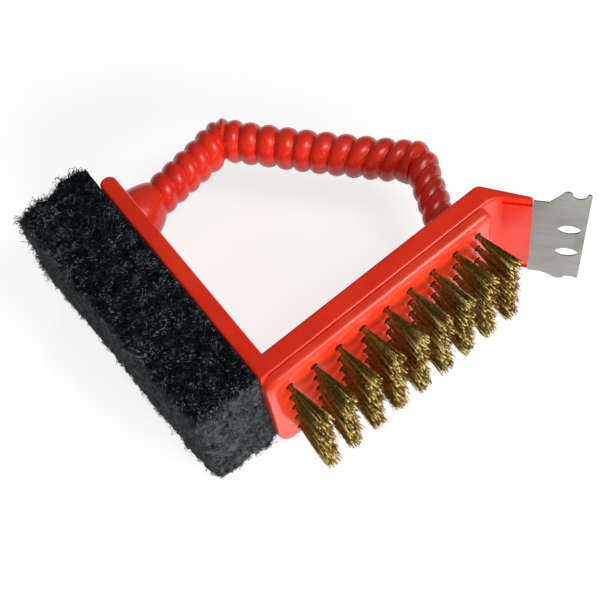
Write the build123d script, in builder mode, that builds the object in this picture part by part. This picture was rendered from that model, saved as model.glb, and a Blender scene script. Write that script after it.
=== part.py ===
from build123d import *
from math import cos, radians, sin
import os

# Three-sided grill cleaning brush. A moulded V carries a scouring pad on one arm, a brass wire
# brush on the other and a steel scraper past the brush's end. A rope-pattern grip joins the arms.
# +X runs across the V from the pad to the scraper, +Y from the V's corner to the grip, and +Z
# is the side that faces up as the brush lies flat. Millimetres.

# Place of the V's inner corner, at mid thickness. It puts the origin at the middle of the
# brush's footprint, on the surface that it lies on.
CORNER = Vector(-6.19, -52.02, 32.045)

# V-shaped body
v_angle = 86.6
arm_length = 119.0
body_width = 54.0
plate_thickness = 8.0
housing_depth = 10.2
wall = 2.5
clearance = 0.3
seam = 0.05
edge_round = 1.6
brush_end_round = 4.0
bend_round = 9.0
plate_end_round = 3.9
tip_round = 1.2

# Tray in the brush arm, open towards the brush
tray_start = 4.0
tray_end = 112.0
tray_depth = 6.2
tray_corner = 3.0

# End wedge that grips the scraper, as points from the V's inner corner
wedge_tip_top = (105.8, 81.45)
wedge_tip_bottom = (105.8, 78.35)
wedge_lip_slope = -5.0
groove_width = 2.6
groove_depth = 1.4
groove_length = 13.0
side_skin = 1.4

# Brush block
block_start = -9.5
block_end = 114.0
block_height = 5.7
block_edge = 3.2
block_inset = 0.2
block_near_corner = 6.5
block_far_corner = 4.0
spigot_depth = 3.0

# Bristle rows
rows = 9
row_start = 0.5
row_pitch = 13.0
tufts_per_row = 5
tuft_pitch = 9.6
tuft_root_radius = 1.5
tuft_tip_radius = 4.3
tuft_length = 22.5
tuft_seat = 3.4
tuft_hole_radius = tuft_root_radius + clearance
tuft_hole_depth = 4.9
anchor_height = 1.0
anchor_width = 2.6
anchor_thickness = 0.5

# Scraper blade, with its outline as a distance from the root and a height
blade_thickness = 0.6
blade_slope = -5.0
blade_root = (104.5, 79.2)
neck_start = 1.4
neck_top = 26.9
neck_bottom = -27.9
tang_width = 40.0
tang_length = 10.0
upper_slope_end = (13.4, 34.1)
upper_peak = (15.4, 35.5)
upper_notch_start = (17.2, 33.9)
upper_notch = (20.3, 31.2)
upper_notch_end = (23.0, 34.1)
upper_horn = (24.1, 35.0)
upper_corner = (25.1, 33.9)
lower_corner = (24.3, -29.4)
lower_horn = (23.6, -30.3)
lower_notch_end = (22.4, -29.6)
lower_notch_start = (18.2, -29.6)
lower_peak = (15.6, -32.0)
lower_slope_start = (12.6, -30.9)
lower_slope_end = (5.0, -27.9)
neck_slope_start = 8.0
slot_length = 10.6
slot_width = 6.4
slot_place = 17.6
slot_heights = (8.0, -9.6)
pin_radius = 1.5
pin_length = 1.5
pin_spread = 24.0
pin_place = -6.0

# Scouring pad and its adhesive
pad_overhang = 10.0
pad_length = 139.0
pad_near_thickness = 30.5
pad_far_thickness = 36.0
pad_edge = 4.0
pad_far_lean = 4.0
adhesive_thickness = 0.6
adhesive_margin = 3.0
adhesive_corner = 4.0

# Handle. Each stretch has its own radius over the crests and crest height.
grip_radius = 10.0
left_leg_radius = 9.4
right_leg_radius = 7.6
crest_height = 1.8
right_crest_height = 1.3
elbow_radius = 9.6
neck_profile = ((0.0, 13.3), (5.0, 12.7), (11.0, 10.8), (15.3, 7.6))
flare_overrun = 4.0
right_leg_overrun = 8.0
left_root = 110.0
right_root = 102.0
left_bend = (-41.75, 127.4)
right_bend = (54.5, 117.0)
left_crests = 5
grip_crests = 10
right_crests = 5

# Screws that hold the handle's two ends
screw_length = 16.0
screw_radius = 2.0
screw_head_radius = 4.0
screw_head_height = 2.4
recess_length = 4.4
recess_width = 0.9
recess_depth = 1.2
bore_reach = 20.0

half_width = body_width / 2
half_angle = radians(v_angle / 2)
LEFT = -1
RIGHT = 1


def along(side):
    """Unit vector from the V's corner along one arm."""
    return Vector(side * sin(half_angle), cos(half_angle), 0)


def outward(side):
    """Unit vector from one arm's inner face to its outer face."""
    return Vector(side * cos(half_angle), -sin(half_angle), 0)


def arm_point(side, run, out, height=0.0):
    """Point at a run along an arm, a distance outward from its inner face, and a height."""
    return CORNER + along(side) * run + outward(side) * out + Vector(0, 0, height)


def corner_point(x, y, height=0.0):
    """Point given from the V's inner corner."""
    return CORNER + Vector(x, y, height)


def face_plane(side, out):
    """Plane parallel to an arm's faces, with its x along the arm and its normal outward."""
    return Plane(origin=arm_point(side, 0, out), x_dir=along(side), z_dir=outward(side))


def flat(point):
    """The same point on the sketch plane at mid thickness."""
    return (point.X, point.Y)


def finish(part, label):
    """Names a finished piece and writes it."""
    part.label = label
    export_step(part, "parts/" + label + ".step")


def line_meet(start, direction, other, other_direction):
    """Where two lines in the plane of the V meet."""
    cross = direction.X * other_direction.Y - direction.Y * other_direction.X
    gap = other - start
    reach = (gap.X * other_direction.Y - gap.Y * other_direction.X) / cross
    return start + direction * reach


os.makedirs("parts", exist_ok=True)
MID = Plane.XY.offset(CORNER.Z)

inner_corner = arm_point(RIGHT, 0, 0)
brush_far_corner = arm_point(RIGHT, arm_length, 0)
outer_corner = line_meet(
    arm_point(LEFT, 0, plate_thickness), along(LEFT),
    arm_point(RIGHT, 0, housing_depth), along(RIGHT),
)
plate_outer_end = arm_point(LEFT, arm_length, plate_thickness)
plate_inner_end = arm_point(LEFT, arm_length, 0)
tip_top = corner_point(*wedge_tip_top)
tip_bottom = corner_point(*wedge_tip_bottom)
lip_direction = Vector(cos(radians(wedge_lip_slope)), sin(radians(wedge_lip_slope)), 0)
lip_bend = line_meet(
    tip_bottom, lip_direction, arm_point(RIGHT, 0, housing_depth), along(RIGHT)
)

# The blade's own plane: x along the blade from the wedge's tip, y along the body's width.
blade_x = Vector(cos(radians(blade_slope)), sin(radians(blade_slope)), 0)
blade_y = Vector(0, 0, 1)
blade_normal = blade_x.cross(blade_y)
blade_origin = corner_point(*blade_root)
BLADE = Plane(origin=blade_origin, x_dir=blade_x, z_dir=blade_normal)
TRAY = face_plane(RIGHT, housing_depth)
PLATE_OUTSIDE = face_plane(LEFT, plate_thickness)
left_screw_plane = Plane(
    origin=arm_point(LEFT, left_root, plate_thickness), x_dir=along(LEFT), z_dir=-outward(LEFT)
)
right_screw_plane = Plane(
    origin=arm_point(RIGHT, right_root, housing_depth - tray_depth),
    x_dir=along(RIGHT), z_dir=-outward(RIGHT),
)

# Body: the plate, the corner, the brush housing and the end wedge in one moulding.
with BuildPart() as frame:
    with BuildSketch(MID) as outline:
        with BuildLine():
            Polyline(
                flat(inner_corner), flat(brush_far_corner), flat(tip_top), flat(tip_bottom),
                flat(lip_bend), flat(outer_corner), flat(plate_outer_end), flat(plate_inner_end),
                close=True,
            )
        make_face()
        for corner, radius in (
            (brush_far_corner, brush_end_round), (lip_bend, bend_round), (tip_top, tip_round),
            (plate_outer_end, plate_end_round), (plate_inner_end, plate_end_round),
        ):
            fillet(outline.vertices().sort_by_distance(corner)[0], radius)
    extrude(amount=half_width, both=True)
    # Rounded edges round the outline of both side faces
    for side_face in (frame.faces().sort_by(Axis.Z)[0], frame.faces().sort_by(Axis.Z)[-1]):
        rounded = [
            edge for edge in side_face.edges()
            if (edge.center() - tip_bottom).length > 12.0 or edge.center().Y > tip_top.Y - 1.0
        ]
        fillet(rounded, edge_round)
    # Tray for the brush block
    with BuildSketch(TRAY):
        with Locations(((tray_start + tray_end) / 2, 0)):
            RectangleRounded(tray_end - tray_start, body_width - 2 * wall, tray_corner)
    extrude(amount=-tray_depth, mode=Mode.SUBTRACT)
    # Slot for the blade's tang
    with BuildSketch(BLADE):
        with Locations(((neck_start + clearance - tang_length) / 2, 0)):
            Rectangle(tang_length + neck_start + 3 * clearance, tang_width + 2 * clearance)
    extrude(amount=blade_thickness / 2 + seam, both=True, mode=Mode.SUBTRACT)
    # Wells for the two pins that hold the tang
    with BuildSketch(BLADE.offset(blade_thickness / 2 + seam)):
        with Locations((pin_place, -pin_spread / 2), (pin_place, pin_spread / 2)):
            Circle(pin_radius + clearance)
    extrude(amount=-pin_length - seam - clearance, mode=Mode.SUBTRACT)
    # Grooves beside the end panel, under the two side skins
    for side in (-1, 1):
        groove_height = side * (half_width - side_skin - groove_width / 2)
        with BuildSketch(Plane(origin=tip_bottom + Vector(0, 0, groove_height),
                               x_dir=lip_direction, z_dir=(0, 0, 1))):
            Rectangle(2 * groove_length, 2 * groove_depth)
        extrude(amount=groove_width / 2, both=True, mode=Mode.SUBTRACT)
    # Screw holes
    for plane, sink in ((left_screw_plane, True), (right_screw_plane, False)):
        with BuildSketch(plane):
            Circle(screw_radius + clearance)
        extrude(amount=bore_reach, mode=Mode.SUBTRACT)
        if sink:
            with BuildSketch(plane):
                Circle(screw_head_radius + clearance)
            extrude(amount=screw_head_height + 2 * clearance, mode=Mode.SUBTRACT)
finish(frame.part, "frame")


def bar(start, end, crests, radius, height, neck=None, round_ends=False):
    """A straight stretch of the handle, turned about its own axis with rounded crests. The
    stretch may begin as a smooth neck, or carry the rounded elbows at both its ends."""
    axis = end - start
    length = axis.length
    plane = Plane(origin=start, x_dir=axis.normalized(), z_dir=(0, 0, 1))
    smooth = neck[-1][0] if neck else 0.0
    groove = radius - height
    pitch = (length - smooth) / crests
    diagonal = elbow_radius * cos(radians(45))
    first = 0.0
    last = length
    with BuildPart() as stretch:
        with BuildSketch(plane):
            with BuildLine():
                if neck:
                    first = -flare_overrun
                    Line((first, 0), (first, neck[0][1]))
                    Line((first, neck[0][1]), neck[0])
                    Spline(*neck)
                    Line(neck[-1], (smooth, groove))
                elif round_ends:
                    first = -elbow_radius
                    ThreePointArc((first, 0), (-diagonal, diagonal), (0, elbow_radius))
                    Line((0, elbow_radius), (0, groove))
                else:
                    Line((0, 0), (0, groove))
                for crest in range(crests):
                    here = smooth + crest * pitch
                    ThreePointArc(
                        (here, groove), (here + pitch / 2, radius), (here + pitch, groove)
                    )
                if round_ends:
                    last = length + elbow_radius
                    Line((length, groove), (length, elbow_radius))
                    ThreePointArc(
                        (length, elbow_radius), (length + diagonal, diagonal), (last, 0)
                    )
                else:
                    Line((length, groove), (length, 0))
                Line((last, 0), (first, 0))
            make_face()
        revolve(axis=Axis(start, axis))
    return stretch.part


# Handle: a short left leg with a wide neck, the long grip and a slimmer right leg.
left_foot = arm_point(LEFT, left_root, 0)
right_foot = arm_point(RIGHT, right_root, 0)
left_elbow = corner_point(*left_bend)
right_elbow = corner_point(*right_bend)
right_end = right_foot + (right_foot - right_elbow).normalized() * right_leg_overrun
left_leg = bar(left_foot, left_elbow, left_crests, left_leg_radius, crest_height, neck=neck_profile)
grip = bar(left_elbow, right_elbow, grip_crests, grip_radius, crest_height, round_ends=True)
right_leg = bar(right_elbow, right_end, right_crests, right_leg_radius, right_crest_height)
with BuildPart() as handle:
    add(left_leg)
    add(grip)
    add(right_leg)
    # Ends cut to lie against the arms' inner faces
    split(bisect_by=face_plane(LEFT, -clearance), keep=Keep.BOTTOM)
    split(bisect_by=face_plane(RIGHT, -clearance), keep=Keep.BOTTOM)
    # Bores for the two screws
    for plane in (left_screw_plane, right_screw_plane):
        with BuildSketch(plane):
            Circle(screw_radius + clearance)
        extrude(amount=screw_length + 2 * clearance, mode=Mode.SUBTRACT)
finish(handle.part, "handle")

# Screws: a flat head and a plain shank each, with a cross recess.
with BuildPart() as handle_screws:
    for plane in (left_screw_plane, right_screw_plane):
        head_start = clearance if plane is left_screw_plane else -screw_head_height - clearance
        seat = plane.offset(head_start)
        with BuildSketch(seat):
            Circle(screw_head_radius)
        extrude(amount=screw_head_height)
        with BuildSketch(seat):
            Circle(screw_radius)
        extrude(amount=screw_length)
        with BuildSketch(seat):
            Rectangle(recess_length, recess_width)
            Rectangle(recess_width, recess_length)
        extrude(amount=recess_depth, mode=Mode.SUBTRACT)
finish(handle_screws.part, "handle_screws")

# Brush block: a low rounded block on the tray's rim, with a spigot inside the tray.
BLOCK_BASE = face_plane(RIGHT, housing_depth + seam)
BLOCK_FACE = face_plane(RIGHT, housing_depth + seam + block_height)
tuft_places = [
    [(row_start + row * row_pitch, (tuft - (tufts_per_row - 1) / 2) * tuft_pitch)
     for tuft in range(tufts_per_row)]
    for row in range(rows)
]
with BuildPart() as brush_block:
    with BuildSketch(BLOCK_BASE) as footprint:
        with Locations(((block_start + block_end) / 2, 0)):
            Rectangle(block_end - block_start, body_width - 2 * block_inset)
        fillet(footprint.vertices().group_by(Axis.X)[0], block_near_corner)
        fillet(footprint.vertices().group_by(Axis.X)[-1], block_far_corner)
    extrude(amount=block_height)
    top_face = brush_block.faces().sort_by(Axis(BLOCK_BASE.origin, BLOCK_BASE.z_dir))[-1]
    fillet(top_face.edges(), block_edge)
    with BuildSketch(BLOCK_BASE):
        with Locations(((tray_start + tray_end) / 2, 0)):
            RectangleRounded(
                tray_end - tray_start - 2 * clearance, body_width - 2 * wall - 2 * clearance,
                tray_corner - clearance
            )
    extrude(amount=-spigot_depth)
    for row in range(rows):
        with BuildSketch(BLOCK_FACE):
            with Locations(*tuft_places[row]):
                Circle(tuft_hole_radius)
        extrude(amount=-tuft_hole_depth, mode=Mode.SUBTRACT)
finish(brush_block.part, "brush_block")

# Wire anchors: one small staple plate at the foot of each tuft.
anchor_depth = tuft_seat + clearance
with BuildPart() as tuft_anchors:
    for row in range(rows):
        with BuildSketch(BLOCK_FACE.offset(-anchor_depth)):
            with Locations(*tuft_places[row]):
                Rectangle(anchor_thickness, anchor_width)
        extrude(amount=-anchor_height)
finish(tuft_anchors.part, "tuft_anchors")

# Bristle rows: each tuft stands tight in its hole and spreads towards its cut tip.
for row in range(rows):
    with BuildPart() as tufts:
        with BuildSketch(BLOCK_FACE.offset(-tuft_seat)):
            with Locations(*tuft_places[row]):
                Circle(tuft_root_radius)
        extrude(amount=tuft_seat)
        for place in tuft_places[row]:
            with BuildSketch(BLOCK_FACE):
                with Locations(place):
                    Circle(tuft_root_radius)
            with BuildSketch(BLOCK_FACE.offset(tuft_length)):
                with Locations(place):
                    Circle(tuft_tip_radius)
            loft()
    finish(tufts.part, "bristle_row_" + str(row + 1))

# Scraper blade: a tang inside the wedge, a straight neck and a flared, notched head.
with BuildPart() as scraper_blade:
    with BuildSketch(BLADE) as profile:
        with BuildLine():
            Polyline((neck_start, neck_top), (neck_slope_start, neck_top), upper_slope_end)
            ThreePointArc(upper_slope_end, upper_peak, upper_notch_start)
            ThreePointArc(upper_notch_start, upper_notch, upper_notch_end)
            ThreePointArc(upper_notch_end, upper_horn, upper_corner)
            Line(upper_corner, lower_corner)
            ThreePointArc(lower_corner, lower_horn, lower_notch_end)
            Line(lower_notch_end, lower_notch_start)
            ThreePointArc(lower_notch_start, lower_peak, lower_slope_start)
            Spline(lower_slope_start, lower_slope_end, tangents=[(-1, 0.75), (-1, 0)])
            Polyline(
                lower_slope_end, (neck_start, neck_bottom), (neck_start, -tang_width / 2),
                (-tang_length, -tang_width / 2), (-tang_length, tang_width / 2),
                (neck_start, tang_width / 2), (neck_start, neck_top),
            )
        make_face()
        # Two slots with pointed ends
        for height in slot_heights:
            with BuildLine():
                for bulge in (-slot_width / 2, slot_width / 2):
                    ThreePointArc(
                        (slot_place - slot_length / 2, height), (slot_place, height + bulge),
                        (slot_place + slot_length / 2, height),
                    )
            make_face(mode=Mode.SUBTRACT)
        with Locations((pin_place, -pin_spread / 2), (pin_place, pin_spread / 2)):
            Circle(pin_radius + clearance, mode=Mode.SUBTRACT)
    extrude(amount=blade_thickness / 2, both=True)
finish(scraper_blade.part, "scraper_blade")

with BuildPart() as blade_pins:
    with BuildSketch(BLADE.offset(blade_thickness / 2)):
        with Locations((pin_place, -pin_spread / 2), (pin_place, pin_spread / 2)):
            Circle(pin_radius)
    extrude(amount=-pin_length)
finish(blade_pins.part, "blade_pins")

# Adhesive film between the plate and the pad
pad_base = plate_thickness + adhesive_thickness + 2 * clearance
with BuildPart() as pad_adhesive:
    with BuildSketch(face_plane(LEFT, plate_thickness + clearance)):
        with Locations((arm_length / 2 - adhesive_margin, 0)):
            RectangleRounded(
                arm_length - adhesive_margin, body_width - 2 * adhesive_margin, adhesive_corner
            )
    extrude(amount=adhesive_thickness)
finish(pad_adhesive.part, "pad_adhesive")

# Scouring pad: a thick fibre block, a little thicker at its far end, that overhangs the plate.
with BuildPart() as scour_pad:
    with BuildSketch(MID):
        with BuildLine():
            Polyline(
                flat(arm_point(LEFT, -pad_overhang, pad_base)),
                flat(arm_point(LEFT, -pad_overhang, pad_base + pad_near_thickness)),
                flat(arm_point(
                    LEFT, pad_length - pad_overhang - pad_far_lean, pad_base + pad_far_thickness
                )),
                flat(arm_point(LEFT, pad_length - pad_overhang, pad_base)),
                close=True,
            )
        make_face()
    extrude(amount=half_width, both=True)
    outer_edges = scour_pad.edges().sort_by(Axis(arm_point(LEFT, 0, 0), outward(LEFT)))
    fillet(outer_edges[-8:], pad_edge)
finish(scour_pad.part, "scour_pad")
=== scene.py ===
"""Looks of the grill cleaning brush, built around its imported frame. Meshes are worked out in
millimetres in the row frame and turned to metres as they are made."""
from math import atan2, cos, pi, radians, sin, tan

import bpy
import numpy as np
from mathutils import Matrix, Vector


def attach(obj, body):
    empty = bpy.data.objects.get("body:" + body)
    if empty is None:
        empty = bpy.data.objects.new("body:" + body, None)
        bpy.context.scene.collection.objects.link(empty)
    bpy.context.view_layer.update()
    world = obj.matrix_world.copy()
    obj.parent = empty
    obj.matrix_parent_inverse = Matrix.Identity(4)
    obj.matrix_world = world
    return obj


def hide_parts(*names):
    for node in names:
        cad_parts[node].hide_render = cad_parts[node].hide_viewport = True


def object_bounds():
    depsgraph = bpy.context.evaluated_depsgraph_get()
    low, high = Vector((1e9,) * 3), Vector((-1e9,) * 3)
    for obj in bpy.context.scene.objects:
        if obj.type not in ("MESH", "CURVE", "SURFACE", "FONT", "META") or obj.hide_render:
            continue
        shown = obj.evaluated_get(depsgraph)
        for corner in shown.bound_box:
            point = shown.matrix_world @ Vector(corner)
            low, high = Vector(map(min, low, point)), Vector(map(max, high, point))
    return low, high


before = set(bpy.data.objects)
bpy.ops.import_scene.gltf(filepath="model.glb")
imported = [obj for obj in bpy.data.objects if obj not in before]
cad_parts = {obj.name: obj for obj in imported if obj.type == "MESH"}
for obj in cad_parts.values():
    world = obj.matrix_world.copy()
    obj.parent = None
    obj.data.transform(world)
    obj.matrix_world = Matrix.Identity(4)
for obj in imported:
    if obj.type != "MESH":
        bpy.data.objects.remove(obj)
cad_low, cad_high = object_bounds()
MM = 0.001

# ---------------------------------------------------------------- shared dimensions, millimetres
V_HALF = radians(86.6 / 2)
CORNER = np.array([-6.19, -52.02, 32.045])
BODY_WIDTH = 54.0
# The brush block's face, outward from the arm's inner face: housing, seam and block
FACE_OUT = 10.2 + 0.05 + 5.7
LEFT, RIGHT = -1, 1
UP = np.array([0.0, 0.0, 1.0])


def along(side):
    """Unit vector from the V's corner along one arm."""
    return np.array([side * sin(V_HALF), cos(V_HALF), 0.0])


def outward(side):
    """Unit vector from one arm's inner face to its outer face."""
    return np.array([side * cos(V_HALF), -sin(V_HALF), 0.0])


def arm_point(side, run, out):
    """Point at mid thickness, at a run along an arm and a distance outward from its inner face."""
    return CORNER + along(side) * run + outward(side) * out


def ease(t):
    """0 to 1 with a soft start and a soft end."""
    return t * t * (3 - 2 * t)


# ---------------------------------------------------------------- mesh and material helpers
def mesh_object(name, verts, quads, tris, material):
    """A new smooth object from vertices in millimetres and rows of quads and triangles."""
    mesh = bpy.data.meshes.new(name)
    verts = np.asarray(verts, np.float32) * MM
    quads = np.asarray(quads, np.int32).reshape(-1, 4)
    tris = np.asarray(tris, np.int32).reshape(-1, 3)
    loops = np.concatenate([quads.ravel(), tris.ravel()])
    starts = np.concatenate([np.arange(len(quads)) * 4, len(quads) * 4 + np.arange(len(tris)) * 3])
    mesh.vertices.add(len(verts))
    mesh.vertices.foreach_set("co", verts.ravel())
    mesh.loops.add(len(loops))
    mesh.loops.foreach_set("vertex_index", loops)
    mesh.polygons.add(len(starts))
    mesh.polygons.foreach_set("loop_start", starts)
    mesh.polygons.foreach_set("use_smooth", np.ones(len(starts), bool))
    mesh.update(calc_edges=True)
    mesh.validate()
    piece = bpy.data.objects.new(name, mesh)
    bpy.context.scene.collection.objects.link(piece)
    piece.data.materials.append(material)
    return piece


class Nodes:
    """A small helper that makes a material's node tree readable."""

    def __init__(self, name):
        self.material = bpy.data.materials.new(name)
        self.material.use_nodes = True
        self.tree = self.material.node_tree
        self.shader = self.tree.nodes["Principled BSDF"]
        self.coords = self.add("ShaderNodeTexCoord")

    def add(self, kind, **settings):
        node = self.tree.nodes.new(kind)
        for key, value in settings.items():
            setattr(node, key, value)
        return node

    def link(self, output, target):
        self.tree.links.new(output, target)

    def noise(self, scale, detail=3.0, roughness=0.5, stretch=None, distortion=0.0):
        """Noise in the object's own space, with an optional stretch."""
        node = self.add("ShaderNodeTexNoise")
        node.inputs["Scale"].default_value = scale
        node.inputs["Detail"].default_value = detail
        node.inputs["Roughness"].default_value = roughness
        node.inputs["Distortion"].default_value = distortion
        where = self.coords.outputs["Object"]
        if stretch is not None:
            mapping = self.add("ShaderNodeMapping")
            mapping.inputs["Scale"].default_value = stretch
            self.link(where, mapping.inputs["Vector"])
            where = mapping.outputs["Vector"]
        self.link(where, node.inputs["Vector"])
        return node.outputs["Fac"]

    def ramp(self, value, stops):
        """A colour ramp from (position, colour) stops; a colour may be one grey number."""
        node = self.add("ShaderNodeValToRGB")
        ramp = node.color_ramp
        while len(ramp.elements) < len(stops):
            ramp.elements.new(0.5)
        for element, (position, colour) in zip(ramp.elements, stops):
            element.position = position
            if isinstance(colour, (int, float)):
                colour = (colour, colour, colour)
            element.color = (*colour, 1.0)
        self.link(value, node.inputs["Fac"])
        return node.outputs["Color"]

    def mix(self, factor, one, two):
        """Colour one where the factor is 0 and two where it is 1; either may be a plain colour."""
        node = self.add("ShaderNodeMix", data_type="RGBA")
        self.link(factor, node.inputs["Factor"])
        colour_a, colour_b = node.inputs[6], node.inputs[7]
        for socket, value in ((colour_a, one), (colour_b, two)):
            if isinstance(value, tuple):
                socket.default_value = (*value, 1.0)
            else:
                self.link(value, socket)
        return node.outputs[2]

    def bump(self, height, strength, distance, under=None):
        """A normal from a height, its distance in metres, over another bump if one is given."""
        node = self.add("ShaderNodeBump")
        node.inputs["Strength"].default_value = strength
        node.inputs["Distance"].default_value = distance
        self.link(height, node.inputs["Height"])
        if under is not None:
            self.link(under, node.inputs["Normal"])
        return node.outputs["Normal"]

    def run_out(self, direction, low, high):
        """0 to 1 as a point goes from low to high, in millimetres, along a direction."""
        dot = self.add("ShaderNodeVectorMath", operation="DOT_PRODUCT")
        self.link(self.coords.outputs["Object"], dot.inputs[0])
        dot.inputs[1].default_value = tuple(direction)
        scaled = self.add("ShaderNodeMapRange")
        scaled.inputs["From Min"].default_value = low * MM
        scaled.inputs["From Max"].default_value = high * MM
        self.link(dot.outputs["Value"], scaled.inputs["Value"])
        return scaled.outputs["Result"]

    def set(self, **values):
        """Plain values on the shader's own sockets."""
        for key, value in values.items():
            self.shader.inputs[key.replace("_", " ")].default_value = value

    def colour(self, output):
        self.link(output, self.shader.inputs["Base Color"])

    def roughness(self, output):
        self.link(output, self.shader.inputs["Roughness"])

    def normal(self, output):
        self.link(output, self.shader.inputs["Normal"])


# Strengths of the moulded plastic's two ripples
SOFT_RIPPLE, FINE_RIPPLE = 0.05, 0.04


def lighter(colour, times, plus=0.0):
    """A colour made lighter or darker, up to full white."""
    return tuple(min(1.0, c * times + plus) for c in colour)


def plastic(name, deep, bright, rough_low, rough_high, specular=0.5, coat=0.12):
    """Moulded glossy plastic: soft mottling, uneven gloss, two ripples and small dust specks."""
    n = Nodes(name)
    mottle = n.noise(38.0, detail=4.0)
    base = n.ramp(mottle, [(0.30, deep), (0.72, bright)])
    specks = n.ramp(n.noise(620.0, detail=1.0), [(0.76, 0.0), (0.80, 1.0)])
    n.colour(n.mix(specks, base, lighter(bright, 1.15, 0.02)))
    n.roughness(n.ramp(n.noise(90.0, detail=5.0, roughness=0.65),
                       [(0.30, rough_low), (0.75, rough_high)]))
    soft = n.bump(n.noise(140.0, detail=2.0), SOFT_RIPPLE, 0.0006)
    n.normal(n.bump(n.noise(1500.0, detail=2.0), FINE_RIPPLE, 0.0002, under=soft))
    n.set(IOR=1.49, Specular_IOR_Level=specular, Coat_Weight=coat, Coat_Roughness=0.12)
    return n.material


def steel(name, dark, light, rough_low, rough_high, grain=0.12):
    """Rolled steel: long fine grain, faint smudges and uneven gloss."""
    n = Nodes(name)
    streaks = n.noise(260.0, detail=4.0, stretch=(0.10, 1.0, 1.0))
    cloud = n.noise(55.0, detail=3.0, distortion=0.6)
    base = n.ramp(streaks, [(0.30, dark), (0.70, light)])
    smudge = n.ramp(cloud, [(0.60, 0.0), (0.80, 0.55)])
    n.colour(n.mix(smudge, base, lighter(dark, 0.62)))
    n.roughness(n.ramp(cloud, [(0.25, rough_low), (0.75, rough_high)]))
    n.normal(n.bump(streaks, grain, 0.0002))
    n.set(Metallic=1.0, Specular_IOR_Level=0.5)
    return n.material


# Drawn brass: the shafts' two tones, kept dark as painted shade inside the tufts, and where along a
# wire the tips' colour, a painted highlight, starts and ends
SHAFT_SHADE_DARK, SHAFT_SHADE_LIGHT = (0.13, 0.080, 0.013), (0.42, 0.270, 0.048)
TIP_GLINT_FROM, TIP_GLINT_TO = 11.0, 22.5


def brass(name, dull, bright, metallic):
    """Drawn brass wire: olive shafts darkened as painted shade, turning to gold towards the tips as
    a painted highlight.
    """
    n = Nodes(name)
    face = float(np.dot(arm_point(RIGHT, 0, FACE_OUT), outward(RIGHT)))
    reach = n.run_out(outward(RIGHT), face + TIP_GLINT_FROM, face + TIP_GLINT_TO)
    fine = n.noise(900.0, detail=2.0)
    shaded_shaft = n.ramp(fine, [(0.30, SHAFT_SHADE_DARK), (0.70, SHAFT_SHADE_LIGHT)])
    tip = n.ramp(fine, [(0.38, dull), (0.62, bright)])
    # Shaft colour near the block and tip colour further out: painted shade on the shafts, painted
    # highlight on the tips.
    n.colour(n.mix(n.ramp(reach, [(0.30, 0.0), (0.85, 1.0)]), shaded_shaft, tip))
    n.roughness(n.ramp(n.noise(500.0), [(0.3, 0.18), (0.7, 0.36)]))
    n.set(Metallic=metallic)
    return n.material


def scouring(name, deep, pale, specular=0.3, side=None):
    """Abrasive nylon fibre with bright specks that are painted glints; a side colour pair is for
    faces that don't look up, leaving the top darker, partly for its open fibre and partly as
    painted shade.
    """
    n = Nodes(name)
    clumps = n.noise(420.0, detail=5.0, roughness=0.7)
    fine = n.noise(1900.0, detail=3.0, roughness=0.7)
    base = n.ramp(clumps, [(0.36, deep), (0.66, pale)])
    if side is not None:
        # Faces that look up take the darker colours, other faces the lighter side pair: the top's
        # darkness is partly its open fibre and partly painted shade, and tilted lumps come out
        # lighter.
        parts = n.add("ShaderNodeSeparateXYZ")
        n.link(n.coords.outputs["Normal"], parts.inputs["Vector"])
        top_shade = n.ramp(parts.outputs["Z"], [(0.35, 0.0), (0.90, 1.0)])
        base = n.mix(top_shade, n.ramp(clumps, [(0.34, side[0]), (0.66, side[1])]), base)
    # Bright specks from fine noise, lighter than the pale colour, are painted glints.
    glint = n.ramp(fine, [(0.60, 0.0), (0.72, 0.8)])
    n.colour(n.mix(glint, base, lighter(pale, 2.2)))
    n.roughness(n.ramp(fine, [(0.30, 0.75), (0.75, 0.35)]))
    n.normal(n.bump(fine, 0.6, 0.0006))
    n.set(Specular_IOR_Level=specular)
    return n.material


RED_FRAME = plastic("red_frame", (0.66, 0.020, 0.006), (0.78, 0.036, 0.011), 0.22, 0.36)
RED_GRIP = plastic("red_grip", (0.62, 0.018, 0.006), (0.74, 0.030, 0.010), 0.26, 0.34,
                   specular=0.75, coat=0.0)
RED_BLOCK = plastic("red_block", (0.70, 0.028, 0.008), (0.80, 0.050, 0.014), 0.26, 0.36,
                    specular=0.7, coat=0.35)
RED_PIN = plastic("red_pin", (0.60, 0.020, 0.006), (0.72, 0.032, 0.010), 0.40, 0.55)
BLADE = steel("blade_satin", (0.36, 0.37, 0.335), (0.42, 0.43, 0.39), 0.48, 0.60, grain=0.06)
SCREW = steel("screw_zinc", (0.42, 0.42, 0.43), (0.60, 0.60, 0.60), 0.25, 0.42)
ANCHOR = steel("anchor_drawn", (0.16, 0.08, 0.02), (0.30, 0.17, 0.05), 0.45, 0.60)
BRASS = brass("brass_wire", (0.07, 0.034, 0.005), (0.42, 0.24, 0.035), 0.7)
# Wires whose light gold colour paints the glints at the tuft tips.
BRASS_PAINTED_GLINT = brass("brass_wire_painted_glint", (0.95, 0.64, 0.15), (1.00, 0.88, 0.42), 0.25)
# The core is darker on top than on its sides, partly for its open fibre and partly as painted
# shade.
PAD_CORE = scouring("pad_core", (0.0012, 0.0014, 0.0018), (0.006, 0.007, 0.009), specular=0.1,
                    side=((0.003, 0.004, 0.004), (0.075, 0.086, 0.088)))
PAD_DARK = scouring("pad_fibre_dark", (0.0025, 0.003, 0.004), (0.012, 0.014, 0.017),
                    specular=0.15)
PAD_GREY = scouring("pad_fibre_grey", (0.010, 0.012, 0.012), (0.085, 0.096, 0.098),
                    specular=0.25)
PAD_SLATE = scouring("pad_fibre_slate", (0.022, 0.027, 0.033), (0.070, 0.083, 0.098),
                     specular=0.3)
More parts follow.
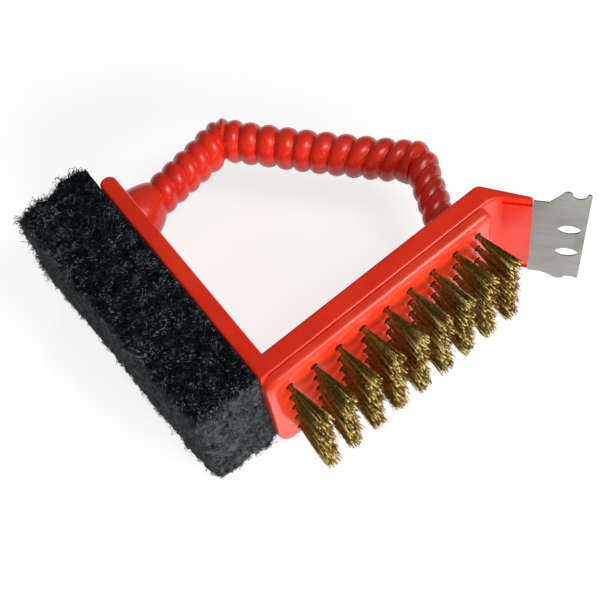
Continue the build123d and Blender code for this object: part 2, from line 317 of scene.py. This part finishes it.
# Pale fibres whose light colour paints glints on the pad.
PAD_PAINTED_GLINT = scouring("pad_fibre_painted_glint", (0.08, 0.095, 0.115), (0.34, 0.39, 0.45), specular=0.5)

adhesive = Nodes("adhesive_film")
adhesive.colour(adhesive.ramp(
    adhesive.noise(300.0), [(0.3, (0.06, 0.055, 0.045)), (0.7, (0.13, 0.12, 0.10))]
))
adhesive.roughness(adhesive.ramp(adhesive.noise(120.0), [(0.3, 0.35), (0.7, 0.6)]))

ROWS = 9
node_materials = {
    "frame": RED_FRAME, "handle": RED_GRIP, "brush_block": RED_BLOCK, "scraper_blade": BLADE,
    "handle_screws": SCREW, "tuft_anchors": ANCHOR, "blade_pins": RED_PIN,
    "pad_adhesive": adhesive.material, "scour_pad": PAD_CORE,
}
for row in range(ROWS):
    node_materials["bristle_row_%d" % (row + 1)] = BRASS
for node, material in node_materials.items():
    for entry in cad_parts[node].material_slots:
        entry.material = material


def place(piece, slot, *nodes):
    """A new piece rides on the body and may stand for CAD nodes, which are hidden; the slot is not
    used.
    """
    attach(piece, "root")
    if nodes:
        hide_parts(*nodes)
    return piece


# ---------------------------------------------------------------- handle
LEFT_ROOT, RIGHT_ROOT = 110.0, 102.0
LEFT_BEND = CORNER + np.array([-41.75, 127.4, 0.0])
RIGHT_BEND = CORNER + np.array([54.5, 117.0, 0.0])
# Radii of the centre line's two bends, and how far it runs on past the right arm's face
LEFT_ROUND, RIGHT_ROUND = 6.0, 6.0
RIGHT_OVERRUN = 6.0
# How far the grip's middle bows towards the inside of the V
GRIP_SAG = 0.75
NECK_END = 15.3
# Distance between the mesh's rings, and points round a ring
RING_STEP = 0.45
AROUND = 64
# Rings at each end that are trimmed to the arm's face, and the gap that is left there
END_RINGS = 40
FOOT_GAP = 0.05


def centreline():
    """Points, directions and running lengths along the handle's bent centre line."""
    foot, far = arm_point(LEFT, LEFT_ROOT, 0), arm_point(RIGHT, RIGHT_ROOT, 0)
    last_way = (far - RIGHT_BEND) / np.linalg.norm(far - RIGHT_BEND)
    stops = [foot, LEFT_BEND, RIGHT_BEND, far + RIGHT_OVERRUN * last_way]
    legs = [stops[k + 1] - stops[k] for k in range(3)]
    spans = [np.linalg.norm(leg) for leg in legs]
    ways = [leg / span for leg, span in zip(legs, spans)]
    angles = [atan2(w[1], w[0]) for w in ways]
    turns = [angles[k] - angles[k + 1] for k in range(2)]
    rounds = (LEFT_ROUND, RIGHT_ROUND)
    cuts = [rounds[k] * tan(turns[k] / 2) for k in range(2)]
    pieces = [
        ("line", stops[0], ways[0], spans[0] - cuts[0]),
        ("arc", 0, rounds[0] * turns[0]),
        ("line", stops[1] + ways[1] * cuts[0], ways[1], spans[1] - cuts[0] - cuts[1]),
        ("arc", 1, rounds[1] * turns[1]),
        ("line", stops[2] + ways[2] * cuts[1], ways[2], spans[2] - cuts[1]),
    ]

    def at(run):
        """Point and direction at a running length."""
        for piece in pieces:
            length = piece[-1]
            if run <= length or piece is pieces[-1]:
                break
            run -= length
        if piece[0] == "line":
            point, way = piece[1] + piece[2] * run, piece[2]
            if piece is pieces[2]:
                inner = np.array([way[1], -way[0], 0.0])
                point = point + inner * GRIP_SAG * sin(pi * run / length)
            return point, way
        k = piece[1]
        angle = angles[k] - run / rounds[k]
        start = stops[k + 1] - ways[k] * cuts[k]
        inner = np.array([ways[k][1], -ways[k][0], 0.0])
        centre = start + inner * rounds[k]
        way = np.array([cos(angle), sin(angle), 0.0])
        outer = np.array([-way[1], way[0], 0.0])
        return centre + outer * rounds[k], way

    return at, sum(piece[-1] for piece in pieces)


# Grooves along the handle: place on the outer side and place on the inner side.
GROOVES_BEFORE = [
    (16.9, 12.4), (24.8, 20.1), (32.6, 27.8), (40.1, 35.3), (47.9, 42.7), (55.1, 51.3),
]
# Where the ridge at the left elbow splits in two on its outer side
ELBOW_SPLIT = 57.8
GROOVES_AFTER = [
    (60.2, 61.3), (67.3, 68.5), (76.2, 77.1), (85.5, 86.2), (94.8, 94.6), (104.3, 102.7),
    (114.0, 111.0), (123.6, 119.5), (133.0, 127.8), (142.0, 135.8), (150.2, 143.5),
    (154.1, 155.5), (157.8, 166.2), (164.8, 173.8), (172.0, 181.4), (179.5, 189.0),
    (187.0, 196.4), (194.5, 204.0),
]
# Crest radius and crest height along the handle, and the smooth neck's radius
RADIUS_RUN = [0, 20, 45, 56.5, 59, 62.5, 75, 135, 147, 151.5, 155.5, 163, 215]
RADIUS_OF = [9.2, 9.3, 9.7, 10.6, 11.0, 10.4, 10.15, 10.25, 10.3, 10.6, 8.8, 7.8, 7.4]
HEIGHT_RUN = [0, 20, 45, 57, 80, 146, 151, 157, 163, 215]
HEIGHT_OF = [1.5, 1.5, 1.8, 2.2, 2.4, 2.4, 2.3, 1.9, 1.6, 1.5]
NECK_RUN = [0, 2, 5, 8, 11, 13, 14.4, 15.3]
NECK_OF = [13.3, 13.2, 12.7, 11.9, 10.8, 9.8, 8.8, 7.7]

# Along the handle, how far round it from the top its outer side lies, in degrees
OUTER_RUN = [140, 165]
OUTER_TURN = [63, 88]
RIDGE_FULLNESS = 0.72
# The elbow's ridge: where round the handle it splits and fades out, as the cosine of the angle
# from the outer side, and its greatest height as a share of its width
SPLIT_FROM, SPLIT_SPAN = 0.25, 0.25
SPLIT_LIMITS = (0.1, 0.9)
FADE_FROM, FADE_SPAN = -0.8, 0.6
ELBOW_RIDGE_HEIGHT = 0.42


def arch(t):
    """Profile of one ridge, from groove to groove."""
    return np.clip(4 * t * (1 - t), 0, 1) ** RIDGE_FULLNESS


def handle_mesh():
    """The whole grip as rings round its centre line, with both ends closed."""
    at, total = centreline()
    grooves = np.array(GROOVES_BEFORE + GROOVES_AFTER)
    runs = np.arange(0.0, total + RING_STEP / 2, RING_STEP)
    turn = np.linspace(0, 2 * pi, AROUND, endpoint=False)
    verts = np.zeros((len(runs), AROUND, 3))
    wedge = len(GROOVES_BEFORE) - 1
    for i, run in enumerate(runs):
        point, way = at(run)
        left = np.array([-way[1], way[0], 0.0])
        share = np.cos(turn - radians(np.interp(run, OUTER_RUN, OUTER_TURN)))
        outer_place, inner_place = grooves[:, :1], grooves[:, 1:]
        places = (outer_place + inner_place) / 2 + (outer_place - inner_place) / 2 * share
        k = np.clip((places <= run).sum(0) - 1, 0, len(grooves) - 2)
        low = np.take_along_axis(places, k[None], 0)[0]
        high = np.take_along_axis(places, k[None] + 1, 0)[0]
        width = np.maximum(high - low, 1e-3)
        t = np.clip((run - low) / width, 0, 1)
        crest = np.interp(run, RADIUS_RUN, RADIUS_OF)
        tall = np.interp(run, HEIGHT_RUN, HEIGHT_OF)
        lift = arch(t)
        # The elbow's ridge: two crests on the outer side, one further round, gone on the inner
        apart = ease(np.clip((share - SPLIT_FROM) / SPLIT_SPAN, 0, 1))
        middle = np.clip((ELBOW_SPLIT - low) / width, *SPLIT_LIMITS)
        twin = np.where(t < middle, arch(t / middle), arch((t - middle) / (1 - middle)))
        lift = np.where(k == wedge, apart * twin + (1 - apart) * lift, lift)
        fading = np.clip((share - FADE_FROM) / FADE_SPAN, 0, 1)
        elbow_tall = np.minimum(tall, ELBOW_RIDGE_HEIGHT * width) * fading
        tall_here = np.where(k == wedge, elbow_tall, tall)
        radius = crest - tall + tall_here * lift
        start = places[0]
        neck_run = np.clip(run / start * NECK_END, 0, NECK_END)
        neck = np.interp(neck_run, NECK_RUN, NECK_OF)
        radius = np.where(run < start, neck, radius)
        spokes = np.sin(turn)[:, None] * left + np.cos(turn)[:, None] * UP
        verts[i] = point + radius[:, None] * spokes
    # Both ends follow the arms' inner faces
    rings = len(runs)
    for side, ring_range in ((LEFT, range(END_RINGS)), (RIGHT, range(rings - END_RINGS, rings))):
        normal = outward(side)
        base = float(np.dot(arm_point(side, 0, 0), normal)) - FOOT_GAP
        for i in ring_range:
            way = at(runs[i])[1]
            past = verts[i] @ normal - base
            slide = past / float(np.dot(way, normal))
            meets = (past > 0) | (i in (0, rings - 1))
            verts[i] = np.where(meets[:, None], verts[i] - slide[:, None] * way, verts[i])
    index = np.arange(rings * AROUND).reshape(rings, AROUND)
    nxt = np.roll(index, -1, axis=1)
    quads = np.stack([index[:-1], index[1:], nxt[1:], nxt[:-1]], -1).reshape(-1, 4)
    flat = verts.reshape(-1, 3)
    ends = np.array([verts[0].mean(0), verts[-1].mean(0)])
    first, last = len(flat), len(flat) + 1
    tris = [[first, index[0, j], nxt[0, j]] for j in range(AROUND)]
    tris += [[last, nxt[-1, j], index[-1, j]] for j in range(AROUND)]
    return np.vstack([flat, ends]), quads, tris


verts, quads, tris = handle_mesh()
handle = mesh_object("rope_handle", verts, quads, tris, RED_GRIP)
place(handle, "grip_plastic", "handle")


# ---------------------------------------------------------------- tubes for wires and fibres
def tubes(paths, radii, sides=3):
    """Closed thin tubes along many paths of equal length: points (n, m, 3), radii (n, m)."""
    n, m, _ = paths.shape
    way = np.gradient(paths, axis=1)
    way /= np.maximum(np.linalg.norm(way, axis=2, keepdims=True), 1e-9)
    helper = np.where(np.abs(way[..., 2:3]) < 0.8, [0.0, 0.0, 1.0], [1.0, 0.0, 0.0])
    one = np.cross(way, helper)
    one /= np.maximum(np.linalg.norm(one, axis=2, keepdims=True), 1e-9)
    two = np.cross(way, one)
    turn = np.arange(sides) * 2 * pi / sides
    cosine, sine = np.cos(turn)[None, None, :, None], np.sin(turn)[None, None, :, None]
    ring = cosine * one[:, :, None] + sine * two[:, :, None]
    verts = paths[:, :, None] + radii[:, :, None, None] * ring
    index = np.arange(n * m * sides).reshape(n, m, sides)
    nxt = np.roll(index, -1, axis=2)
    quads = np.stack([index[:, :-1], nxt[:, :-1], nxt[:, 1:], index[:, 1:]], -1).reshape(-1, 4)
    caps = np.concatenate([index[:, 0, ::-1], index[:, -1]])
    return verts.reshape(-1, 3), quads, caps


# ---------------------------------------------------------------- brass bristles
TUFTS, WIRES = 5, 125
ROW_START, ROW_PITCH, TUFT_PITCH = 0.5, 13.0, 9.6
ROOT_RADIUS, TIP_RADIUS = 0.75, 4.0
# The wires start this far below the block's face
ROOT_DEPTH = 1.0
WIRE_LENGTH, LENGTH_SHIFT, LENGTH_SPREAD, LENGTH_OVER = 22.5, -0.3, 1.0, 1.4
WIRE_RADIUS = 0.150
WIRE_STEPS = 22
# A few wires stand out of their tuft
WILD_SHARE, WILD_REACH = 0.03, (1.1, 1.5)
# How far a wire's tip strays from straight above its root
TURN_SPREAD, PLACE_SPREAD, TIP_LIMIT = 0.22, 0.10, 1.1
# Crimp: waves along a wire and their half height, which grow from a quarter of the way up
CRIMP_WAVES, CRIMP_HEIGHT = (7.5, 9.0), (0.12, 0.34)
CRIMP_FROM, CRIMP_SPAN = 0.25, 0.5
# Share of slightly thicker wires whose brighter colour is a painted glint
GLINT_WIRE_SHARE, GLINT_WIRE_THICKER = 0.22, 0.25
BRISTLE_SEED = 41
rng = np.random.default_rng(BRISTLE_SEED)


def tuft_paths(row, tuft):
    """The wires of one tuft, from inside its hole to their cut tips."""
    t = np.linspace(0, 1, WIRE_STEPS)[None]
    angle = rng.uniform(0, 2 * pi, WIRES)
    share = np.sqrt(rng.uniform(0, 1, WIRES))
    length = WIRE_LENGTH + rng.normal(LENGTH_SHIFT, LENGTH_SPREAD, WIRES)
    length = np.minimum(length, WIRE_LENGTH + LENGTH_OVER)
    wild = rng.uniform(0, 1, WIRES) < WILD_SHARE
    spread = np.where(wild, rng.uniform(*WILD_REACH, WIRES), 1.0)
    tip_angle = angle + rng.normal(0, TURN_SPREAD, WIRES)
    tip_share = np.clip(share + rng.normal(0, PLACE_SPREAD, WIRES), 0, TIP_LIMIT) * spread
    root, tip = share * ROOT_RADIUS, tip_share * TIP_RADIUS
    run0, high0 = root * np.cos(angle), root * np.sin(angle)
    run1, high1 = tip * np.cos(tip_angle), tip * np.sin(tip_angle)
    phase = rng.uniform(0, 2 * pi, WIRES)[:, None]
    waves = rng.uniform(*CRIMP_WAVES, WIRES)[:, None]
    sway = rng.uniform(*CRIMP_HEIGHT, WIRES)[:, None] * np.clip((t - CRIMP_FROM) / CRIMP_SPAN, 0, 1)
    plane = rng.uniform(0, pi, WIRES)[:, None]
    crimp = sway * np.sin(phase + 2 * pi * waves * t)
    run = run0[:, None] + (run1 - run0)[:, None] * t + crimp * np.cos(plane)
    high = high0[:, None] + (high1 - high0)[:, None] * t + crimp * np.sin(plane)
    run = run + ROW_START + row * ROW_PITCH
    high = high + (tuft - (TUFTS - 1) / 2) * TUFT_PITCH
    out = FACE_OUT - ROOT_DEPTH * (1 - t) + t * length[:, None]
    return (CORNER + along(RIGHT) * run[..., None] + outward(RIGHT) * out[..., None]
            + UP * high[..., None])


def bristle_row(row):
    """All wires of one row, and for each face whether it is on a wire with a painted glint."""
    paths = np.concatenate([tuft_paths(row, tuft) for tuft in range(TUFTS)])
    bright = rng.uniform(0, 1, len(paths)) < GLINT_WIRE_SHARE
    thick = WIRE_RADIUS * (1 + GLINT_WIRE_THICKER * bright[:, None]) * np.ones(paths.shape[:2])
    verts, quads, caps = tubes(paths, thick)
    finish = np.concatenate([np.repeat(bright, len(quads) // len(paths)), bright, bright])
    return verts, quads, caps, finish


for row in range(ROWS):
    verts, quads, caps, finish = bristle_row(row)
    wires = mesh_object("brass_row_%d" % (row + 1), verts, quads, caps, BRASS)
    wires.data.materials.append(BRASS_PAINTED_GLINT)
    wires.data.polygons.foreach_set("material_index", finish.astype(np.int32))
    place(wires, "brass_wire", "bristle_row_%d" % (row + 1))

# ---------------------------------------------------------------- scouring pad
PAD_OVERHANG, PAD_LENGTH, PAD_BASE = 10.0, 139.0, 8.3
PAD_NEAR, PAD_FAR = 31.4, 36.9
# Grid step of the skin, and the radius of its edges
PAD_STEP = 0.78
PAD_EDGE = 2.2
# The far end leans back over its last stretch; the near end is worn a little thinner
LEAN_RUN, LEAN = 30.0, 5.0
WORN_RUN, WORN = 8.0, 0.03
# Skin: how far it stands proud, and its lumps as height, cell and seed. Both fade to the base.
PAD_PROUD = 0.9
LUMPS = ((1.0, 5.5, 3), (1.1, 2.4, 5), (0.9, 1.1, 7))
LUMP_SCALE = 1.05
BASE_SHARE, BASE_OUT = 0.15, 4.0
# Noise lattice: values a side, and a shift that keeps every point's place in it positive
LATTICE = 64
NOISE_SHIFT = 500


def pad_thickness(run):
    """The pad grows thicker towards its far end."""
    return np.interp(run, [-PAD_OVERHANG, PAD_LENGTH - PAD_OVERHANG], [PAD_NEAR, PAD_FAR])


def lattice_noise(points, cell, seed):
    """Smooth value noise at points, one value a cell, seeded."""
    grid = np.random.default_rng(seed).uniform(-1, 1, (LATTICE, LATTICE, LATTICE))
    scaled = (points + NOISE_SHIFT) / cell
    base = np.floor(scaled).astype(int)
    part = ease(scaled - base)
    total = np.zeros(len(points))
    for step in np.ndindex(2, 2, 2):
        weight = np.where(step, part, 1 - part).prod(1)
        spot = (base + step) % LATTICE
        total += weight * grid[spot[:, 0], spot[:, 1], spot[:, 2]]
    return total


def pad_grid():
    """The skin as a grid over a unit box of run, out and height, with shared edge points."""
    counts = (int(PAD_LENGTH / PAD_STEP), int(PAD_FAR / PAD_STEP), int(BODY_WIDTH / PAD_STEP))
    seen, points, quads = {}, [], []

    def key(i, j, k):
        if (i, j, k) not in seen:
            seen[(i, j, k)] = len(points)
            points.append((i / counts[0], j / counts[1], k / counts[2]))
        return seen[(i, j, k)]

    a, b, c = counts
    for i in range(a):
        for j in range(b):
            quads.append((key(i, j, 0), key(i, j + 1, 0), key(i + 1, j + 1, 0), key(i + 1, j, 0)))
            quads.append((key(i, j, c), key(i + 1, j, c), key(i + 1, j + 1, c), key(i, j + 1, c)))
    for i in range(a):
        for k in range(c):
            quads.append((key(i, 0, k), key(i + 1, 0, k), key(i + 1, 0, k + 1), key(i, 0, k + 1)))
            quads.append((key(i, b, k), key(i, b, k + 1), key(i + 1, b, k + 1), key(i + 1, b, k)))
    for j in range(b):
        for k in range(c):
            quads.append((key(0, j, k), key(0, j, k + 1), key(0, j + 1, k + 1), key(0, j + 1, k)))
            quads.append((key(a, j, k), key(a, j + 1, k), key(a, j + 1, k + 1), key(a, j, k + 1)))
    return np.array(points), np.array(quads)


def pad_shape(unit):
    """Unit box to pad space in millimetres, with rounded edges on the outer side and the ends."""
    half = BODY_WIDTH / 2
    run = -PAD_OVERHANG + unit[:, 0] * PAD_LENGTH
    thick = pad_thickness(run)
    out = unit[:, 1] * thick
    high = (unit[:, 2] * 2 - 1) * half
    # Rounded outer edges, end edges and corners
    edge = PAD_EDGE
    centre = PAD_LENGTH / 2 - PAD_OVERHANG
    across = np.maximum(0, np.abs(high) - (half - edge)) / edge
    outer = np.maximum(0, out - (thick - edge)) / edge
    endways = np.maximum(0, np.abs(run - centre) - (PAD_LENGTH / 2 - edge)) / edge
    reach = np.sqrt(across ** 2 + outer ** 2 + endways ** 2)
    pull = np.maximum(np.maximum(across, outer), endways) / np.maximum(reach, 1e-6)
    high = np.where(across > 0, np.sign(high) * (half - edge + across * pull * edge), high)
    end_reach = PAD_LENGTH / 2 - edge + endways * pull * edge
    run = np.where(endways > 0, centre + np.sign(run - centre) * end_reach, run)
    out = np.where(outer > 0, thick - edge + outer * pull * edge, out)
    # The far end is longer at the base than at the outer face
    lean = np.clip((run - (PAD_LENGTH - PAD_OVERHANG - LEAN_RUN)) / LEAN_RUN, 0, 1)
    run = run - lean * LEAN * (out / thick)
    near = np.clip(1 - (run + PAD_OVERHANG) / WORN_RUN, 0, 1)
    out = out * (1 - WORN * near)
    return np.stack([run, out, high], -1)


def to_row(points):
    """Pad space to the row frame, in millimetres."""
    return (CORNER + along(LEFT) * points[:, :1] + outward(LEFT) * (PAD_BASE + points[:, 1:2])
            + UP * points[:, 2:3])


def normals_of(points, quads):
    """Unit normals at the points of a mesh of quads."""
    one = points[quads[:, 2]] - points[quads[:, 0]]
    two = points[quads[:, 3]] - points[quads[:, 1]]
    face = np.cross(one, two)
    total = np.zeros_like(points)
    for corner in range(4):
        np.add.at(total, quads[:, corner], face)
    return total / np.maximum(np.linalg.norm(total, axis=1, keepdims=True), 1e-9)


def build_pad():
    """The lumpy skin in pad space, with the smooth shape's normals."""
    unit, quads = pad_grid()
    points = pad_shape(unit)
    normal = normals_of(points, quads)
    if np.dot(normal[np.argmax(points[:, 2])], [0, 0, 1]) < 0:
        normal, quads = -normal, quads[:, ::-1]
    rough = sum(height * lattice_noise(points, cell, seed) for height, cell, seed in LUMPS)
    free = np.clip(points[:, 1] / BASE_OUT, 0, 1)
    depth = (PAD_PROUD + LUMP_SCALE * rough) * (BASE_SHARE + (1 - BASE_SHARE) * free)
    return points + normal * depth[:, None], normal, quads


pad_points, pad_normals, pad_quads = build_pad()
pad = mesh_object("scouring_pad", to_row(pad_points), pad_quads, [], PAD_CORE)
place(pad, "scouring_fibre", "scour_pad")

# Fibres: points along one, how far roots stray, greatest curl, rise over the skin as a share of
# their length, and how far they start below it
FIBRE_STEPS = 5
FIBRE_STRAY, FIBRE_CURL, FIBRE_RISE, FIBRE_SINK = 0.55, 2.6, (-0.1, 0.5), 0.2
# Fibres gather in patches of about this size, more or less closely
PATCH_CELL, PATCH_CONTRAST = 2.6, 3.0
# Lowest height of a fibre's centre line over the CAD box's floor, level with the pad's lower side
FIBRE_FLOOR = 5.2
# The frayed stretch before the far end, and the depth of clear base beside the plate
FRAYED_RUN, FRAYED_BASE = 7.0, 3.0


def fibres(name, count, seed, material, choose, reach=(0.9, 2.3), thin=(0.09, 0.15),
           patch=PATCH_CONTRAST, stand=0.0):
    """Short curled fibres rooted in the pad's skin: reach is their length, thin their radius,
    patch gathers them and stand lifts their free ends."""
    local = np.random.default_rng(seed)
    sources = np.flatnonzero(choose(pad_points, pad_normals))
    gathered = np.exp(patch * lattice_noise(pad_points[sources], PATCH_CELL, seed))
    pick = local.choice(sources, count, p=gathered / gathered.sum())
    root = pad_points[pick] + local.normal(0, FIBRE_STRAY, (count, 3))
    normal = pad_normals[pick]
    drift = local.normal(0, 1, (count, 3))
    tangent = drift - normal * (drift * normal).sum(1, keepdims=True)
    tangent /= np.maximum(np.linalg.norm(tangent, axis=1, keepdims=True), 1e-9)
    side = np.cross(normal, tangent)
    length = local.uniform(*reach, count)
    curl = local.uniform(-FIBRE_CURL, FIBRE_CURL, count)
    rise = local.uniform(*FIBRE_RISE, count)
    t = np.linspace(0, 1, FIBRE_STEPS)
    heading = curl[:, None] * (t[None] - 0.5)
    stride = (length / (FIBRE_STEPS - 1))[:, None]
    forward = np.cumsum(np.cos(heading) * stride, 1)
    sideways = np.cumsum(np.sin(heading) * stride, 1)
    lift = (np.sin(pi * t)[None] * rise[:, None] + stand * t[None]) * length[:, None]
    lift = lift - FIBRE_SINK
    paths = (root[:, None] + tangent[:, None] * forward[..., None]
             + side[:, None] * sideways[..., None] + normal[:, None] * lift[..., None])
    paths[..., 1] = np.maximum(paths[..., 1], FIBRE_SINK)
    world = to_row(paths.reshape(-1, 3)).reshape(paths.shape)
    world[..., 2] = np.maximum(world[..., 2], cad_low[2] / MM + FIBRE_FLOOR)
    thick = local.uniform(*thin, count)[:, None] * np.ones(FIBRE_STEPS)[None]
    verts, quads, caps = tubes(world, thick)
    piece = mesh_object(name, verts, quads, caps, material)
    return place(piece, "scouring_fibre")


def looks_up(points, normals):
    return normals[:, 2] > 0.35


def looks_out(points, normals):
    return (normals[:, 1] > 0.35) & (normals[:, 2] < 0.75)


def looks_endways(points, normals):
    return np.abs(normals[:, 0]) > 0.5


def looks_down(points, normals):
    return normals[:, 2] < -0.35


def frayed(points, normals):
    """The far end and the skin just before it, clear of the base."""
    near_end = points[:, 0] > PAD_LENGTH - PAD_OVERHANG - FRAYED_RUN
    return near_end & (points[:, 1] > FRAYED_BASE)


# Upward fibres are dark and the other faces' fibres grey: the top's darkness is partly its open
# fibre and partly painted shade.
fibres("pad_fibres_upper", 7000, 11, PAD_DARK, looks_up)
fibres("pad_slate_upper", 7000, 31, PAD_SLATE, looks_up, reach=(0.5, 1.5), thin=(0.07, 0.12))
# The glint fibres, pale or slate, paint glints on the pad with their light colour.
fibres("pad_glints_upper", 4200, 21, PAD_PAINTED_GLINT, looks_up, reach=(0.6, 1.5), thin=(0.06, 0.11))
fibres("pad_fibres_outer", 7400, 12, PAD_GREY, looks_out)
fibres("pad_glints_outer", 2400, 22, PAD_SLATE, looks_out, reach=(0.5, 1.3), thin=(0.07, 0.11))
fibres("pad_fibres_ends", 6600, 14, PAD_GREY, looks_endways, reach=(0.6, 1.6))
fibres("pad_glints_ends", 2600, 24, PAD_PAINTED_GLINT, looks_endways, reach=(0.3, 0.9), thin=(0.06, 0.10))
fibres("pad_fibres_lower", 6000, 13, PAD_GREY, looks_down)
fibres("pad_frayed_end", 2600, 15, PAD_DARK, frayed, reach=(1.4, 3.2), thin=(0.10, 0.17),
       patch=2 * PATCH_CONTRAST, stand=0.8)

# ---------------------------------------------------------------- floor, lights, camera
# A square floor, glowing a little so that it stays pale, and a round backdrop of the same kind
FLOOR_HALF = 3000.0
BACKDROP_RADIUS, BACKDROP_HEIGHT, BACKDROP_SIDES = 2900.0, 3000.0, 96
floor_material = Nodes("pale_floor")
floor_material.colour(floor_material.ramp(floor_material.noise(3.0), [(0.3, 0.42), (0.7, 0.46)]))
floor_material.set(Roughness=0.85, Emission_Color=(1.0, 1.0, 1.0, 1.0), Emission_Strength=0.74)
floor_corners = FLOOR_HALF * np.array([(-1, -1, 0), (1, -1, 0), (1, 1, 0), (-1, 1, 0)])
floor = mesh_object("floor", floor_corners, [(0, 1, 2, 3)], [], floor_material.material)
floor.visible_diffuse = False

turn = np.arange(BACKDROP_SIDES) * 2 * pi / BACKDROP_SIDES
ring = BACKDROP_RADIUS * np.stack([np.cos(turn), np.sin(turn), 0 * turn], -1)
index = np.arange(BACKDROP_SIDES)
nxt = np.roll(index, -1)
backdrop = mesh_object(
    "backdrop", np.vstack([ring, ring + BACKDROP_HEIGHT * UP]),
    np.stack([index, index + BACKDROP_SIDES, nxt + BACKDROP_SIDES, nxt], -1), [],
    floor_material.material,
)
backdrop.visible_diffuse = False
backdrop.visible_glossy = False
backdrop.visible_shadow = False


def area_light(name, spot, aim, size, power):
    """A white rectangular light in metres and watts."""
    data = bpy.data.lights.new(name, "AREA")
    data.shape = "RECTANGLE"
    data.size, data.size_y = size
    data.energy = power
    lamp = bpy.data.objects.new(name, data)
    lamp.location = spot
    lamp.rotation_euler = (Vector(aim) - Vector(spot)).to_track_quat("-Z", "Y").to_euler()
    bpy.context.scene.collection.objects.link(lamp)
    return lamp


middle = Vector([(low + high) / 2 for low, high in zip(cad_low, cad_high)])
area_light("softbox", (0.74, -0.06, 0.98), middle, (0.34, 0.66), 5.0)
key = area_light("key", (0.93, -1.03, 0.43), middle, (1.50, 0.42), 35.0)
fill = area_light("fill", (-0.80, -0.85, 0.50), middle, (0.60, 0.50), 2.7)
back = area_light("back", (-0.45, 1.20, 0.50), middle, (0.80, 0.50), 4.0)
# Only the softbox leaves a highlight.
for lamp in (key, fill, back):
    lamp.visible_glossy = False

world = bpy.data.worlds.new("studio")
world.use_nodes = True
world.node_tree.nodes["Background"].inputs["Color"].default_value = (1.0, 1.0, 1.0, 1.0)
world.node_tree.nodes["Background"].inputs["Strength"].default_value = 0.10
bpy.context.scene.world = world

camera_data = bpy.data.cameras.new("camera")
camera_data.sensor_width = 36.0
camera_data.lens = 69.425
camera_data.clip_start, camera_data.clip_end = 0.01, 20.0
camera = bpy.data.objects.new("camera", camera_data)
camera.matrix_world = Matrix((
    (0.98535866, -0.04875448, 0.16337478, 0.08436),
    (0.12386215, 0.86318793, -0.48945353, -0.26027),
    (-0.11716009, 0.50252323, 0.85658853, 0.46751),
    (0.0, 0.0, 0.0, 1.0),
))
bpy.context.scene.collection.objects.link(camera)
bpy.context.scene.camera = camera
bpy.context.scene.view_settings.view_transform = "Standard"
